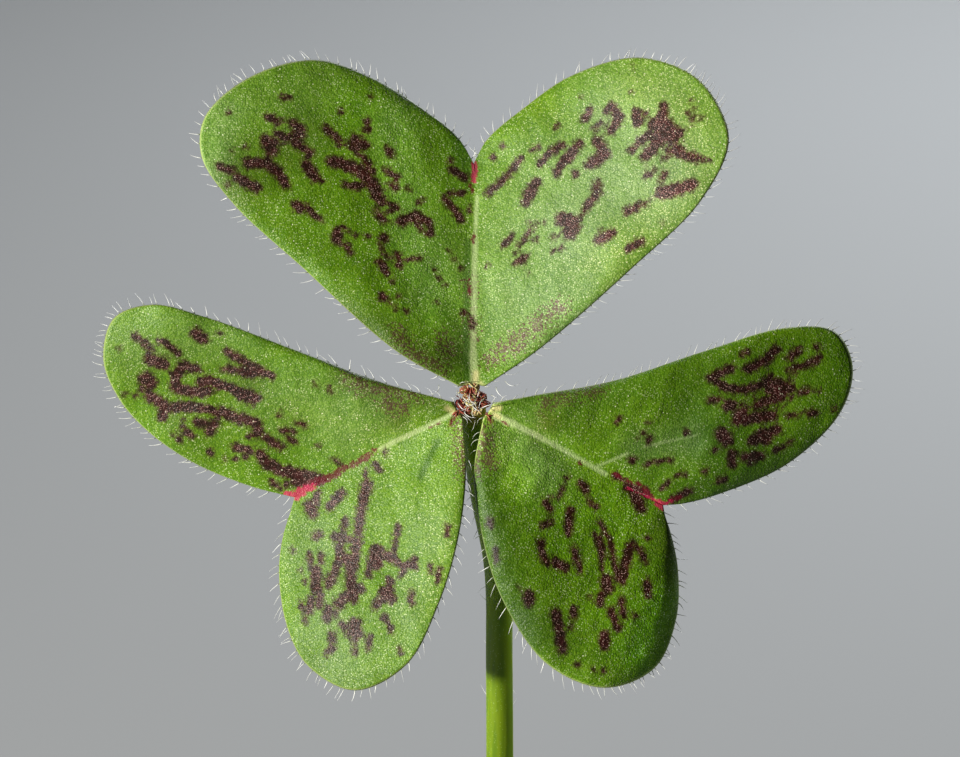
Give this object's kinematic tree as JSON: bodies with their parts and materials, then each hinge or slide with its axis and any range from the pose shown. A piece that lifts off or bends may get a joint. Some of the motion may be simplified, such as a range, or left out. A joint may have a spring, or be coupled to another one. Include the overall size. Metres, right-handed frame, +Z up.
{
  "type": "potted bermuda buttercup",
  "caption": "Potted wood sorrel with heart-shaped leaflets in threes on thin stalks, dark blotches on the blades, standing in soil in a small plain clay pot.",
  "frame": {"origin": "middle of the pot's flat underside, on the surface that it stands on", "axes": "+Z up along the pot's axis, -Y towards the viewer that the tall leaf faces, +X to that viewer's right"},
  "size_m": [0.0867, 0.0816, 0.1553],
  "materials": {
    "clay": "unglazed, dry, with pale mineral bloom",
    "soil": "crumbly and matt",
    "stalk": "smooth yellow-green with a few fine hairs",
    "blade": "satin green with a fine sparkle and dark purple-brown blotches, hairy at the margin"
  },
  "bodies": {
    "root": {"pot": "clay", "soil": "soil", "tall_leaf_stalk": "stalk", "tall_leaf_upper_leaflet": "blade", "tall_leaf_left_leaflet": "blade", "tall_leaf_right_leaflet": "blade", "leaf_front_left": "blade", "leaf_front": "blade", "leaf_front_right": "blade", "leaf_back_right": "blade", "leaf_back": "blade", "leaf_back_left": "blade", "leaf_inner_left": "blade", "leaf_inner_front": "blade", "leaf_inner_right": "blade"}
  },
  "joints": []
}
